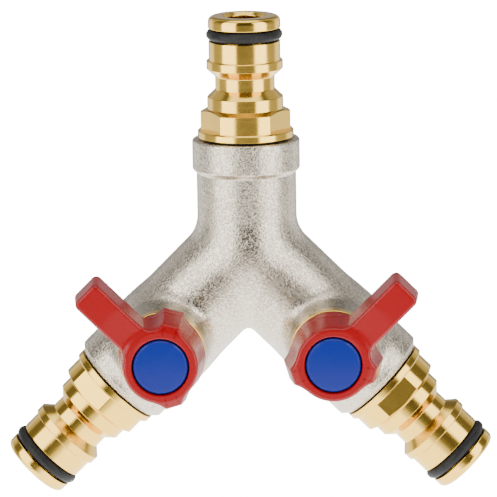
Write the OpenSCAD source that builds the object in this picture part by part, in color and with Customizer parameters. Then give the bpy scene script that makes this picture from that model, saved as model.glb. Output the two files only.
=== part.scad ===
// Two-way hose splitter: a forged brass Y with one quick-connect inlet nipple and two
// quick-connect outlet nipples, each outlet shut by a quarter-turn ball valve.
// Frame: +Z runs up the inlet, the valve handles face -Y, and the origin is the middle
// of the inlet nipple's latch ridge, where the hose connector holds the part.
// Both valves are drawn shut, with each lever square to its arm.

/* [Body] */
// Angle between each outlet arm and straight down, in degrees
arm_angle = 45; // [40:1:55]
// Distance from the crossing of the three axes to the inlet mouth
inlet_reach = 26.1; // [22:0.1:34]
// Distance from the crossing of the three axes to each outlet mouth
outlet_reach = 42.0; // [41:0.1:52]
// Outside diameter of the inlet tube
inlet_tube_d = 22.4; // [21:0.1:27]
// Outside diameter of the inlet collar
inlet_collar_d = 24.2; // [23:0.1:30]
// Length of the inlet collar, with its lower chamfer
inlet_collar_len = 7.6; // [4:0.1:12]
// Outside diameter of the outlet arms
outlet_tube_d = 23.8; // [22:0.1:28]
// Chamfer round each outlet mouth
mouth_chamfer = 1.2; // [0.4:0.1:1.5]
// Rounding of the inlet collar's upper edge
collar_round = 0.9; // [0.3:0.1:1.5]
// Bore drilled down from the inlet
inlet_waterway_d = 10.0; // [8:0.1:11]
// Bore of the waterway from that drilling to each valve
waterway_d = 9.0; // [6:0.1:9.5]

/* [Threads] */
// Major diameter of the pipe thread between a nipple and the body
thread_d = 16.66; // [16:0.01:17.5]
// Gap between the two halves of a thread, measured on the radius
thread_gap = 0.05; // [0.02:0.01:0.1]
// Depth of the inlet's thread, past its gasket
inlet_thread_len = 9.0; // [6:0.1:10]

/* [Nipples] */
// Diameter of the latch ridge that a hose connector grips
ridge_d = 17.2; // [16.8:0.05:17.6]
// Length of the latch ridge, with its outer chamfer
ridge_len = 1.88; // [1.4:0.02:2.6]
// Diameter of the neck behind the ridge
neck_d = 13.4; // [12.6:0.1:14.2]
// Length of the straight neck
neck_len = 2.86; // [2:0.02:5]
// Length of the cone between the neck and the ridge
ridge_cone_len = 1.76; // [1:0.02:2.5]
// Diameter of the collar between the neck and the spanner section
collar_d = 17.1; // [15:0.1:19]
// Length of that collar
collar_len = 2.6; // [1.5:0.1:4]
// Length of the cone between the collar and the neck
collar_cone_len = 1.8; // [1:0.1:3]
// Diameter of the spanner section before its flats are milled
spanner_d = 20.2; // [19:0.1:21]
// Length of the spanner section
spanner_len = 4.0; // [3:0.1:8]
// Length of the chamfer from the spanner section to the collar
spanner_chamfer_len = 0.8; // [0.4:0.1:1.4]
// Number of milled flats
flat_count = 3; // [2:1:6]
// Distance of each flat from the axis, as a share of the spanner section's radius
flat_share = 0.9; // [0.86:0.01:0.96]
// Diameter of the flange that clamps the gasket
flange_d = 21.6; // [20.8:0.1:22]
// Thickness of the flange
flange_len = 1.7; // [1.2:0.1:3]
// Diameter of the nose between the ridge and the O-ring
nose_d = 16.1; // [15.5:0.1:16.6]
// Length of the nose between the ridge and the O-ring groove
nose_len = 4.33; // [3:0.01:6]
// Diameter of the rim outside the O-ring
rim_d = 16.3; // [15.7:0.1:16.7]
// Length of the rim
rim_len = 2.76; // [2:0.02:4]
// Rounding of the rim's outer edge
rim_round = 1.5; // [0.5:0.1:1.8]
// Bore through the nipple
nipple_bore_d = 8.6; // [7:0.1:9.4]
// Chamfer at the mouth of the bore
bore_chamfer = 0.7; // [0.2:0.1:1]

/* [Seals] */
// Thickness of a nipple O-ring
o_ring_w = 2.4; // [2:0.1:2.8]
// Spare length of the O-ring groove
o_ring_spare = 0.5; // [0.2:0.1:0.8]
// Thickness of a flat gasket when clamped
gasket_len = 0.4; // [0.2:0.1:1]
// Outside diameter of a flat gasket
gasket_d = 20.2; // [18.5:0.1:20.4]

/* [Ball valves] */
// Distance from the crossing of the axes to each ball's centre
valve_reach = 26.95; // [25:0.05:30]
// Diameter of the ball
ball_d = 14.4; // [13.4:0.1:14.6]
// Bore through the ball
ball_bore_d = 8.5; // [6:0.1:8.8]
// Gap between the ball and its seats
ball_gap = 0.05; // [0.02:0.01:0.1]
// Gap between the ball and the wall of its chamber
chamber_gap = 0.25; // [0.15:0.05:0.4]
// Distance from the ball's centre to the flat back of a seat
seat_back = 6.8; // [6:0.05:7.5]
// Distance from the ball's centre to the seat's lip
seat_lip = 3.4; // [3:0.05:4.5]
// Gap between the stem and the gland that it turns in
stem_gap = 0.05; // [0.02:0.01:0.1]
// Diameter of the stem's shaft
stem_d = 7.0; // [6:0.1:8]
// Width of the tang that turns the ball
tang_w = 3.1; // [2.4:0.1:4]
// Length of the tang
tang_len = 6.4; // [5:0.1:7]
// Depth of the slot in the ball
slot_depth = 2.2; // [1.6:0.1:3]
// Diameter of the stem's stop collar
stem_collar_d = 10.4; // [9.5:0.1:11.2]
// Height of the stop collar
stem_collar_len = 1.8; // [1.2:0.1:2.6]
// Turn between shut and open, in degrees
valve_turn = 90; // [60:5:120]
// Width of the stop key in the body, in degrees
stop_key = 30; // [20:5:40]
// Diameter of the gland's thread
gland_thread_d = 13.6; // [12.6:0.1:15]
// Diameter of the gland's flange
gland_flange_d = 20.2; // [18:0.1:21]
// Thickness of the gland's flange
gland_flange_len = 3.4; // [2.5:0.1:4.5]
// Size across the flats of the gland's hexagon
gland_hex = 11; // [9:0.5:12]
// Height of the gland's hexagon
gland_hex_len = 1.8; // [1:0.1:2]
// Diameter of the boss that holds the gland
boss_d = 19.2; // [18:0.1:21]
// Height of the boss's face above the arm's outside
boss_rise = 7.0; // [5.5:0.1:8.5]
// Thickness of a stem O-ring
stem_o_ring_w = 1.4; // [1:0.1:1.6]
// Number of stem O-rings
stem_o_ring_count = 2; // [1:1:2]
// Thickness of the thrust washer
washer_len = 0.4; // [0.2:0.1:0.8]

/* [Handles] */
// Diameter of the hub at its front
hub_front_d = 16.6; // [15:0.1:18]
// Diameter of the hub at its base
hub_base_d = 19.4; // [17:0.1:20]
// Height of the hub
hub_len = 11.4; // [10.5:0.1:14]
// Distance from the axis to the end of the lever
lever_reach = 22.8; // [18:0.1:30]
// Width of the lever at its front
lever_w = 6.7; // [5:0.1:9]
// Thickness of the lever
lever_len = 9.1; // [6:0.1:10]
// Growth of the lever's outline from front to back, on each side
lever_draft = 0.4; // [0:0.1:0.8]
// Rounding of the lever's corners
lever_round = 1.4; // [0.5:0.1:2.5]
// Distance from the axis to the tips of the hub's lugs, at its front
lug_reach = 9.5; // [8.8:0.1:10.5]
// Angular width of a lug
lug_angle = 26; // [15:1:40]
// Gap between the hub and the gland's flange
hub_gap = 0.5; // [0.2:0.1:1]
// Diameter of the round cap
cap_d = 12.0; // [10:0.1:12.4]
// Depth of the pocket that holds the cap
cap_pocket_len = 3.1; // [2.8:0.1:4]
// Gap round the cap in its pocket
cap_gap = 0.35; // [0.2:0.05:0.6]
// Height of the cap's point above the hub's front
cap_proud = 0.3; // [0:0.05:0.8]
// Size of the square drive between the stem and the handle
drive_w = 5.0; // [4:0.1:5.6]
// Thread of the screw that holds the handle
screw_d = 3.0; // [2.5:0.5:3.5]

/* [Hidden] */
$fn = 96;

// Colours
nickel = "#c9c1b4";
brass = "#d9b468";
red_plastic = "#c22f30";
blue_plastic = "#2450ab";
black_rubber = "#1c1c1e";
white_ptfe = "#ececea";
steel = "#b8bbbf";

left = -1;
right = 1;
over = 0.02;       // cuts run this far past the face that they open
fit_gap = 0.05;    // gap of a hand fit inside one rigid body

// Levels on a nipple, measured outwards from the underside of its flange
flange_top = flange_len;
spanner_top = flange_top + spanner_len;
collar_base = spanner_top + spanner_chamfer_len;
collar_top = collar_base + collar_len;
neck_base = collar_top + collar_cone_len;
neck_top = neck_base + neck_len;
ridge_base = neck_top + ridge_cone_len;
ridge_chamfer = 0.15;
ridge_top = ridge_base + ridge_len;
groove_base = ridge_top + nose_len;
groove_len = o_ring_w + o_ring_spare;
rim_base = groove_base + groove_len;
nipple_tip = rim_base + rim_len;
ridge_mid = (ridge_base + ridge_top - ridge_chamfer) / 2;

// The O-ring's outside is level with the latch ridge
o_ring_r = (ridge_d - o_ring_w) / 2;
groove_r = (ridge_d - 2 * o_ring_w) / 2 - fit_gap;

// Height of the axes' crossing below the origin
flange_seat = inlet_reach + gasket_len;
crossing_z = -(flange_seat + ridge_mid);

inlet_drill_past = 1.5;  // the inlet's drilling runs this far past the crossing

// Chamber and seats of a valve, measured along its arm from the crossing
chamber_r = ball_d / 2 + chamber_gap;
seat_r = chamber_r - fit_gap;
seat_bore_spare = 0.15;
seat_bore_r = ball_bore_d / 2 + seat_bore_spare;
inner_shoulder = valve_reach - seat_back;
outer_shoulder = valve_reach + seat_back;
outlet_thread_len = outlet_reach - outer_shoulder;
male_r = thread_d / 2 - thread_gap;
outlet_spigot_len = outlet_reach + gasket_len - outer_shoulder;
spigot_spare = 0.5;      // room left below the inlet nipple's spigot
spigot_chamfer = 0.4;
inlet_spigot_len = inlet_thread_len + gasket_len - spigot_spare;

// Levels of a valve, measured towards the handle from the arm's axis
slot_floor = ball_d / 2 - slot_depth;
collar_seat_rise = 0.95;  // wall between the ball's chamber and the stem collar's seat
collar_seat = chamber_r + collar_seat_rise;
stem_collar_base = collar_seat + fit_gap;
stem_collar_top = stem_collar_base + stem_collar_len;
washer_top = stem_collar_top + washer_len;
boss_top = outlet_tube_d / 2 + boss_rise;
gland_flange_top = boss_top + gland_flange_len;
gland_hex_top = gland_flange_top + gland_hex_len;
hub_base = gland_flange_top + hub_gap;
hub_front = hub_base + hub_len;
hub_hollow_spare = 0.9;
hub_hollow_top = gland_hex_top + hub_hollow_spare;
cap_floor = hub_front - cap_pocket_len;
web_len = 1.4;
drive_top = cap_floor - web_len;
stem_spare = 0.2;
stem_top = drive_top - stem_spare;
stem_collar_gap = 0.1;
tang_bore_step = 1.2;
tang_bore_d = stem_collar_d - tang_bore_step;
gland_hex_r = gland_hex / sqrt(3);
gland_r = gland_thread_d / 2 - thread_gap;
gland_bore_r = stem_d / 2 + stem_gap;
stem_o_ring_gap = 0.02;
stem_o_ring_spare = 0.2;
stem_o_ring_r = gland_bore_r - stem_o_ring_gap - stem_o_ring_w / 2;
stem_groove_len = stem_o_ring_w + stem_o_ring_spare;
stem_groove_r = stem_o_ring_r - stem_o_ring_w / 2 - stem_o_ring_gap;
gland_pitch = (gland_flange_top - washer_top) / stem_o_ring_count;

// The stop key stands where the collar's notch ends when the valve is shut
stop_from = 100;
stop_clear = 1;
stop_depth = 0.9;
stem_hub_r = stem_collar_d / 2 - stop_depth;

// Screw and cap of a handle
screw_r = screw_d / 2;
screw_hole_r = screw_r + fit_gap;
screw_depth = 6;
screw_head_share = 0.93;  // radius of the head, as a share of the screw's diameter
screw_head_r = screw_d * screw_head_share;
screw_head_len = screw_d / 2;
screw_hole_spare = 1;
slot_w = 0.72;
slot_reach = 1.8;
slot_cut = 1.0;
web_hole_spare = 0.2;
hex_spare = 0.5;
cap_pocket_r = cap_d / 2 + cap_gap;
cap_skirt_len = 2.0;
cap_skirt_w = 1.1;
cap_bevel = 0.35;
cap_point = 0.25;
lug_places = [-60, 152];
lug_tip_share = 0.78;    // shares of the lug's mean reach
lug_root_share = 1.5;
lug_side_share = 0.78;
handle_soft = 0.5;
corner_steps = 6;  // straight pieces in a rounded corner
flat_clear = 1;    // a flat's cutter reaches this far past the spanner section

// How far each nipple had turned when it was screwed tight
inlet_clocking = 0;
left_clocking = -34;
right_clocking = -65.5;
first_flat = 90;

// Places

module on_inlet() translate([0, 0, crossing_z]) children();

module on_arm(side)
    translate([0, 0, crossing_z]) rotate([0, side * (180 - arm_angle), 0]) children();

// Turns a piece drawn along +Z to face the handles, at a valve's centre.
// Its own +X is then square to the arm, where the shut lever points.
module on_valve(side)
    translate([side * valve_reach * sin(arm_angle), 0, crossing_z - valve_reach * cos(arm_angle)])
        rotate([90, 0, 0])
            rotate([0, 0, side == right ? 90 - arm_angle : 90 + arm_angle])
                children();

// Shapes

module ring(outer, inner, low, high)
    translate([0, 0, low]) difference() {
        cylinder(r = outer, h = high - low);
        translate([0, 0, -over]) cylinder(r = inner, h = high - low + 2 * over);
    }

// A slice of a turned shape, between two angles, big enough for any valve piece
module sector(from, to, low, high) {
    reach = boss_d;
    steps = 8;
    translate([0, 0, low]) linear_extrude(high - low)
        polygon(concat([[0, 0]], [for (i = [0:steps])
            let (a = from + (to - from) * i / steps) reach * [cos(a), sin(a)]]));
}

// Outer shape of the inlet tube and its collar
module inlet_outside() {
    tube_r = inlet_tube_d / 2;
    rim_r = inlet_collar_d / 2;
    step = rim_r - tube_r;
    collar_low = inlet_reach - inlet_collar_len;
    rotate_extrude() polygon(concat(
        [[0, 0], [tube_r, 0], [tube_r, collar_low], [rim_r, collar_low + step]],
        [for (i = [0:corner_steps]) let (a = 90 * i / corner_steps)
            [rim_r - collar_round * (1 - cos(a)), inlet_reach - collar_round * (1 - sin(a))]],
        [[0, inlet_reach]]));
}

module arm_outside() {
    arm_r = outlet_tube_d / 2;
    rotate_extrude() polygon([
        [0, 0], [arm_r, 0], [arm_r, outlet_reach - mouth_chamfer],
        [arm_r - mouth_chamfer, outlet_reach], [0, outlet_reach]]);
}

// Everything that is bored from an outlet's mouth
module arm_bores() {
    translate([0, 0, outer_shoulder]) cylinder(r = thread_d / 2, h = outlet_thread_len + over);
    translate([0, 0, inner_shoulder]) cylinder(r = chamber_r, h = outer_shoulder - inner_shoulder + over);
    cylinder(r = waterway_d / 2, h = inner_shoulder + over);
}

// Everything that is bored from a boss's face, less the stop key
module stem_bores() {
    cylinder(r = tang_bore_d / 2, h = collar_seat + over);
    difference() {
        translate([0, 0, collar_seat])
            cylinder(r = stem_collar_d / 2 + stem_collar_gap, h = washer_top - collar_seat + over);
        difference() {
            sector(stop_from, stop_from + stop_key, collar_seat - over, stem_collar_top);
            cylinder(r = stem_hub_r + stem_collar_gap, h = washer_top);
        }
    }
    translate([0, 0, washer_top]) cylinder(r = gland_thread_d / 2, h = boss_top - washer_top + over);
}

// Outline of a nipple, bore and all, standing on its flange's underside
module nipple_turned(spigot_len) {
    bore_r = nipple_bore_d / 2;
    rim_r = rim_d / 2;
    rotate_extrude() polygon(concat(
        [[bore_r, -spigot_len], [male_r - spigot_chamfer, -spigot_len],
         [male_r, -spigot_len + spigot_chamfer],
         [male_r, 0], [flange_d / 2, 0], [flange_d / 2, flange_top], [spanner_d / 2, flange_top],
         [spanner_d / 2, spanner_top], [collar_d / 2, collar_base], [collar_d / 2, collar_top],
         [neck_d / 2, neck_base], [neck_d / 2, neck_top], [ridge_d / 2, ridge_base],
         [ridge_d / 2, ridge_top - ridge_chamfer], [ridge_d / 2 - ridge_chamfer, ridge_top],
         [nose_d / 2, ridge_top], [nose_d / 2, groove_base], [groove_r, groove_base],
         [groove_r, rim_base], [rim_r, rim_base]],
        [for (i = [0:corner_steps]) let (a = 90 * i / corner_steps)
            [rim_r - rim_round * (1 - cos(a)), nipple_tip - rim_round * (1 - sin(a))]],
        [[bore_r + bore_chamfer, nipple_tip], [bore_r, nipple_tip - bore_chamfer]]));
}

module nipple(spigot_len, clocking) {
    color(brass) rotate([0, 0, clocking]) difference() {
        nipple_turned(spigot_len);
        for (i = [0:flat_count - 1]) rotate([0, 0, first_flat + 360 * i / flat_count])
            translate([flat_share * spanner_d / 2, -spanner_d, flange_top])
                cube([flat_clear + spanner_d / 2, 2 * spanner_d, spanner_len + spanner_chamfer_len]);
    }
}

module nipple_o_ring() {
    color(black_rubber) translate([0, 0, groove_base + groove_len / 2])
        rotate_extrude() translate([o_ring_r, 0]) circle(d = o_ring_w);
}

module gasket() color(black_rubber) ring(gasket_d / 2, thread_d / 2 + fit_gap, 0, gasket_len);

// Sub-parts of the inlet

module valve_body() {
    color(nickel) difference() {
        union() {
            on_inlet() inlet_outside();
            for (side = [left, right]) {
                on_arm(side) arm_outside();
                on_valve(side) cylinder(d = boss_d, h = boss_top);
            }
        }
        on_inlet() {
            translate([0, 0, -inlet_drill_past])
                cylinder(d = inlet_waterway_d, h = inlet_drill_past + inlet_reach);
            translate([0, 0, inlet_reach - inlet_thread_len])
                cylinder(r = thread_d / 2, h = inlet_thread_len + over);
        }
        for (side = [left, right]) {
            on_arm(side) arm_bores();
            on_valve(side) stem_bores();
        }
    }
}

module inlet_nipple() on_inlet() translate([0, 0, flange_seat]) nipple(inlet_spigot_len, inlet_clocking);
module inlet_nipple_o_ring() on_inlet() translate([0, 0, flange_seat]) nipple_o_ring();
module inlet_gasket() on_inlet() translate([0, 0, inlet_reach]) gasket();

// Sub-parts of a valve and its outlet

module outlet_nipple(side, clocking)
    on_arm(side) translate([0, 0, outlet_reach + gasket_len]) nipple(outlet_spigot_len, clocking);

module outlet_o_ring(side) on_arm(side) translate([0, 0, outlet_reach + gasket_len]) nipple_o_ring();

module outlet_gasket(side) on_arm(side) translate([0, 0, outlet_reach]) gasket();

// Shut, the ball's bore lies square to the arm, along the lever
module ball(side) {
    color(steel) on_valve(side) difference() {
        sphere(d = ball_d);
        rotate([0, 90, 0]) cylinder(d = ball_bore_d, h = 2 * ball_d, center = true);
        translate([-ball_d / 2, -tang_w / 2 - fit_gap, slot_floor])
            cube([ball_d, tang_w + 2 * fit_gap, ball_d]);
    }
}

// One seat, drawn for the side away from the inlet
module seat() {
    color(white_ptfe) difference() {
        ring(seat_r, seat_bore_r, seat_lip, seat_back);
        sphere(r = ball_d / 2 + ball_gap);
    }
}

module outer_seat(side) on_arm(side) translate([0, 0, valve_reach]) seat();
module inner_seat(side) on_arm(side) translate([0, 0, valve_reach]) mirror([0, 0, 1]) seat();

module stem_turned() {
    shaft_r = stem_d / 2;
    collar_r = stem_collar_d / 2;
    grooves = [for (i = [0:stem_o_ring_count - 1])
        washer_top + gland_pitch * (i + 0.5) - stem_groove_len / 2];
    rotate_extrude() polygon(concat(
        [[0, stem_collar_base], [collar_r, stem_collar_base], [collar_r, stem_collar_top],
         [shaft_r, stem_collar_top]],
        [for (g = grooves, p = [[shaft_r, g], [stem_groove_r, g],
            [stem_groove_r, g + stem_groove_len], [shaft_r, g + stem_groove_len]]) p],
        [[shaft_r, stem_top], [0, stem_top]]));
}

module stem(side) {
    notch_from = stop_from - valve_turn - stop_clear / 2;
    notch_to = stop_from + stop_key + stop_clear / 2;
    color(brass) on_valve(side) difference() {
        union() {
            stem_turned();
            intersection() {
                translate([-tang_len / 2, -tang_w / 2, slot_floor + fit_gap])
                    cube([tang_len, tang_w, stem_collar_base - slot_floor]);
                cylinder(d = tang_len, h = stem_collar_top);
            }
        }
        difference() {
            sector(notch_from, notch_to, stem_collar_base - over, stem_collar_top + over);
            cylinder(r = stem_hub_r, h = washer_top);
        }
        translate([0, 0, hub_hollow_top]) difference() {
            cylinder(d = stem_d + over, h = stem_top);
            translate([-drive_w / 2, -drive_w / 2, -over]) cube([drive_w, drive_w, stem_top + over]);
        }
        translate([0, 0, stem_top - screw_depth - screw_hole_spare])
            cylinder(r = screw_hole_r, h = screw_depth + screw_hole_spare + over);
    }
}

module stem_o_rings(side)
    color(black_rubber) on_valve(side)
        for (i = [0:stem_o_ring_count - 1])
            translate([0, 0, washer_top + gland_pitch * (i + 0.5)])
                rotate_extrude() translate([stem_o_ring_r, 0]) circle(d = stem_o_ring_w);

module thrust_washer(side)
    color(white_ptfe) on_valve(side)
        ring(stem_collar_d / 2, gland_bore_r, stem_collar_top, washer_top);

module gland(side) {
    color(brass) on_valve(side) difference() {
        union() {
            translate([0, 0, washer_top]) cylinder(r = gland_r, h = boss_top - washer_top);
            translate([0, 0, boss_top]) cylinder(d = gland_flange_d, h = gland_flange_len);
            translate([0, 0, gland_flange_top])
                cylinder(r = gland_hex_r, h = gland_hex_len, $fn = 6);
        }
        translate([0, 0, washer_top - over]) cylinder(r = gland_bore_r, h = gland_hex_top);
    }
}

// A bar from the axis to the lever's end, with rounded corners. Leaning cuts take the draft
// off its two sides and its end.
module lever() {
    half = lever_w / 2 + lever_draft;
    reach = lever_reach + lever_draft;
    lean = atan(lever_draft / lever_len);
    corners = [[-90, -1], [0, 1]];
    outline = concat([[0, half], [0, -half]],
        [for (c = corners, i = [0:corner_steps]) let (a = c[0] + 90 * i / corner_steps)
            [reach - lever_round * (1 - cos(a)), c[1] * (half - lever_round) + lever_round * sin(a)]]);
    translate([0, 0, hub_front - lever_len]) difference() {
        linear_extrude(lever_len) polygon(outline);
        for (s = [-1, 1]) translate([-reach, s * half, 0]) rotate([s * lean, 0, 0])
            translate([0, s < 0 ? -half : 0, -lever_len]) cube([3 * reach, half, 3 * lever_len]);
        translate([reach, 0, 0]) rotate([0, -lean, 0])
            translate([0, -2 * half, -lever_len]) cube([half, 4 * half, 3 * lever_len]);
    }
}

module hub_outside() {
    front_r = hub_front_d / 2;
    translate([0, 0, hub_base]) rotate_extrude() polygon([
        [0, 0], [hub_base_d / 2, 0], [front_r, hub_len - handle_soft],
        [front_r - handle_soft, hub_len], [0, hub_len]]);
}

// A lug swells out of the hub over its own angle
module lug() {
    mean_reach = lug_reach + (hub_base_d - hub_front_d) / 4;
    tip_half = lug_tip_share * mean_reach * sin(lug_angle / 2);
    root_half = lug_root_share * mean_reach * sin(lug_angle / 2);
    root_reach = lug_side_share * mean_reach;
    translate([0, 0, hub_base]) linear_extrude(hub_len)
        polygon([[0, -root_half], [root_reach, -root_half], [mean_reach, -tip_half],
            [mean_reach, tip_half], [root_reach, root_half], [0, root_half]]);
}

module handle(side) {
    hole = drive_w + 2 * fit_gap;
    color(red_plastic) on_valve(side) difference() {
        union() {
            hub_outside();
            lever();
            for (a = lug_places) rotate([0, 0, a]) lug();
        }
        translate([0, 0, hub_base - over])
            cylinder(r = gland_hex_r + hex_spare, h = hub_hollow_top - hub_base + over);
        translate([-hole / 2, -hole / 2, hub_base]) cube([hole, hole, drive_top - hub_base]);
        translate([0, 0, drive_top - over]) cylinder(r = screw_r + web_hole_spare, h = web_len + 2 * over);
        translate([0, 0, cap_floor]) cylinder(r = cap_pocket_r, h = cap_pocket_len + over);
    }
}

module handle_screw(side) {
    color(steel) on_valve(side) difference() {
        union() {
            translate([0, 0, stem_top - screw_depth])
                cylinder(r = screw_r, h = cap_floor - stem_top + screw_depth + over);
            translate([0, 0, cap_floor]) cylinder(r = screw_head_r, h = screw_head_len);
        }
        for (turn = [0, 90]) rotate([0, 0, turn])
            translate([-slot_reach, -slot_w / 2, cap_floor + screw_head_len - slot_cut])
                cube([2 * slot_reach, slot_w, slot_cut + over]);
    }
}

module handle_cap(side) {
    cap_r = cap_d / 2;
    skirt_r = cap_pocket_r - fit_gap;
    skirt_top = cap_floor + cap_skirt_len;
    cap_top = hub_front + cap_proud;
    color(blue_plastic) on_valve(side) rotate_extrude() polygon([
        [0, skirt_top], [skirt_r - cap_skirt_w, skirt_top], [skirt_r - cap_skirt_w, cap_floor],
        [skirt_r, cap_floor], [skirt_r, skirt_top - cap_gap], [cap_r, skirt_top],
        [cap_r, cap_top - cap_point - cap_bevel], [cap_r - cap_bevel, cap_top - cap_point],
        [0, cap_top]]);
}

valve_body();
inlet_nipple();
inlet_nipple_o_ring();
inlet_gasket();
outlet_nipple(left, left_clocking);  // left_outlet_nipple
outlet_o_ring(left);  // left_nipple_o_ring
outlet_gasket(left);  // left_outlet_gasket
ball(left);  // left_ball
inner_seat(left);  // left_inner_seat
outer_seat(left);  // left_outer_seat
stem(left);  // left_stem
stem_o_rings(left);  // left_stem_o_rings
thrust_washer(left);  // left_thrust_washer
gland(left);  // left_gland
handle(left);  // left_handle
handle_screw(left);  // left_handle_screw
handle_cap(left);  // left_handle_cap
outlet_nipple(right, right_clocking);  // right_outlet_nipple
outlet_o_ring(right);  // right_nipple_o_ring
outlet_gasket(right);  // right_outlet_gasket
ball(right);  // right_ball
inner_seat(right);  // right_inner_seat
outer_seat(right);  // right_outer_seat
stem(right);  // right_stem
stem_o_rings(right);  // right_stem_o_rings
thrust_washer(right);  // right_thrust_washer
gland(right);  // right_gland
handle(right);  // right_handle
handle_screw(right);  // right_handle_screw
handle_cap(right);  // right_handle_cap
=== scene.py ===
"""Looks of a two-way hose splitter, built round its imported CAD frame."""
import math

import bpy
import numpy as np
from mathutils import Matrix, Vector


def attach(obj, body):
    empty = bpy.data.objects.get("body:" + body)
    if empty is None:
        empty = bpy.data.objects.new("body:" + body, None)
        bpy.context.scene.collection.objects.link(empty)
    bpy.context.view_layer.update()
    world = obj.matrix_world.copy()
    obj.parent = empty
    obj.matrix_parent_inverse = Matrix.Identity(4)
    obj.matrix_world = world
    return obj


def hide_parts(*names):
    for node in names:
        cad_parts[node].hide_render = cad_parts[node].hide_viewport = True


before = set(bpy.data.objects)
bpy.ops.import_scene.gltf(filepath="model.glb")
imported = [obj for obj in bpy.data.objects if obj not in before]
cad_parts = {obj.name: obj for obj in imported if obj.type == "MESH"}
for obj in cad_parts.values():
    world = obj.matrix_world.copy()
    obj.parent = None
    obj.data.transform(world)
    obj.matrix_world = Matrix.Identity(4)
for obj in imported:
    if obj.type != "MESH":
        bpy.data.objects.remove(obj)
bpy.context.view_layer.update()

# ---------------------------------------------------------------------------
# Sizes in millimetres, taken from the CAD source
# ---------------------------------------------------------------------------
MM = 0.001
ARM_ANGLE = math.radians(45)
CROSSING_Z = -42.885
INLET_REACH = 26.1
OUTLET_REACH = 42.0
GASKET_LEN = 0.4
VALVE_REACH = 26.95
SEAT_BACK = 6.8
INLET_R = 11.2
COLLAR_R = 12.1
COLLAR_LEN = 7.6
ARM_R = 11.9
MOUTH_CHAMFER = 1.2
THREAD_R = 8.33
INLET_THREAD_LEN = 9.0
INLET_WATERWAY_R = 5.0
ARM_WATERWAY_R = 4.5
CHAMBER_R = 7.45
BOSS_TOP = 18.9
GLAND_TOP = 22.3
GLAND_HEX_TOP = 24.1
GLAND_HEX = 11.0
GLAND_BORE_R = 3.55
GLAND_R = 6.75
HUB_BASE = 22.8
HUB_FRONT = 34.2
LEVER_BACK = 25.1
CAP_FLOOR = 31.1
CAP_PROUD = 0.3
CAP_R = 6.0
CAP_BORE_R = 5.2
HUB_R = 8.3
HUB_GROWTH = 1.4
HUB_HOLLOW_R = 6.85
HUB_HOLLOW_TOP = GLAND_HEX_TOP + 0.9
LEVER_ROUND = 1.4
LEVER_DRAFT = 0.4
LUG_ANGLES = (-60, 152)
WEB_LEN = 1.4
SCREW_HOLE_R = 1.7
POCKET_R = 6.35

# A nipple's radii, and its heights above its flange's seat
NIPPLE_BORE_R = 4.3
BORE_CHAMFER = 0.7
SPIGOT_R = 8.28
SPIGOT_CHAMFER = 0.4
INLET_SPIGOT = 8.9
OUTLET_SPIGOT = OUTLET_REACH + GASKET_LEN - VALVE_REACH - SEAT_BACK
FLANGE_R = 10.8
FLANGE_TOP = 1.7
SPANNER_R = 10.1
SPANNER_TOP = 5.7
FLAT_COUNT = 3
FLAT_SHARE = 0.9
STEP_R = 8.55
STEP_BASE = 6.5
STEP_TOP = 9.1
NECK_R = 6.7
NECK_BASE = 10.9
NECK_TOP = 13.76
RIDGE_R = 8.6
RIDGE_BASE = 15.52
RIDGE_TOP = 17.40
RIDGE_CHAMFER = 0.15
NOSE_R = 8.05
GROOVE_R = 6.15
GROOVE_BASE = 21.73
RIM_R = 8.15
RIM_BASE = 24.63
NIPPLE_TIP = 27.39
O_RING_W = 2.4
GASKET_R = 10.1
CLOCKING = {"inlet": 0.0, "left": math.radians(-34), "right": math.radians(-65.5)}

# ---------------------------------------------------------------------------
# Sizes in millimetres that differ from the CAD's, or that only the looks need
# ---------------------------------------------------------------------------
BOSS_R = 9.3
BOSS_DRAFT = 0.1
BOSS_EDGE = 0.5
BOSS_BLEND = 3.0
ARM_BLEND = 2.0
SHOULDER_BLEND = 1.8
WATERWAY_BLEND = 0.5
COLLAR_ROUND = 0.5625
RECESS_R = 10.85
RECESS_LEN = 0.12
RECESS_ROUND = 0.054
FLANGE_CHAMFER = 0.28
GASKET_WALL = 1.7
RIM_ROUND = 1.242
GLAND_LOW = 9.9
GLAND_RIM_R = 9.85
GLAND_NECK_R = 6.351
LEVER_HALF = 3.5
LEVER_REACH = 23.4
LUG_REACH = 9.55
DRIVE_R = 2.6
CAP_SKIRT_R = 6.28

FITTING = "fitting"
SIDES = (("left", -1), ("right", 1))


# ---------------------------------------------------------------------------
# Places
# ---------------------------------------------------------------------------
def turn_y(angle):
    c, s = math.cos(angle), math.sin(angle)
    return np.array([[c, 0, s], [0, 1, 0], [-s, 0, c]])


def on_inlet(points):
    return points + np.array([0, 0, CROSSING_Z])


def on_arm(points, side):
    turned = points @ turn_y(side * (math.pi - ARM_ANGLE)).T
    return turned + np.array([0, 0, CROSSING_Z])


def on_valve(points, side):
    a = math.pi / 2 - side * ARM_ANGLE
    c, s = math.cos(a), math.sin(a)
    axes = np.array([[c, 0, s], [-s, 0, c], [0, -1, 0]])
    centre = np.array([side * VALVE_REACH * math.sin(ARM_ANGLE), 0,
                       CROSSING_Z - VALVE_REACH * math.cos(ARM_ANGLE)])
    return points @ axes + centre


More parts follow.
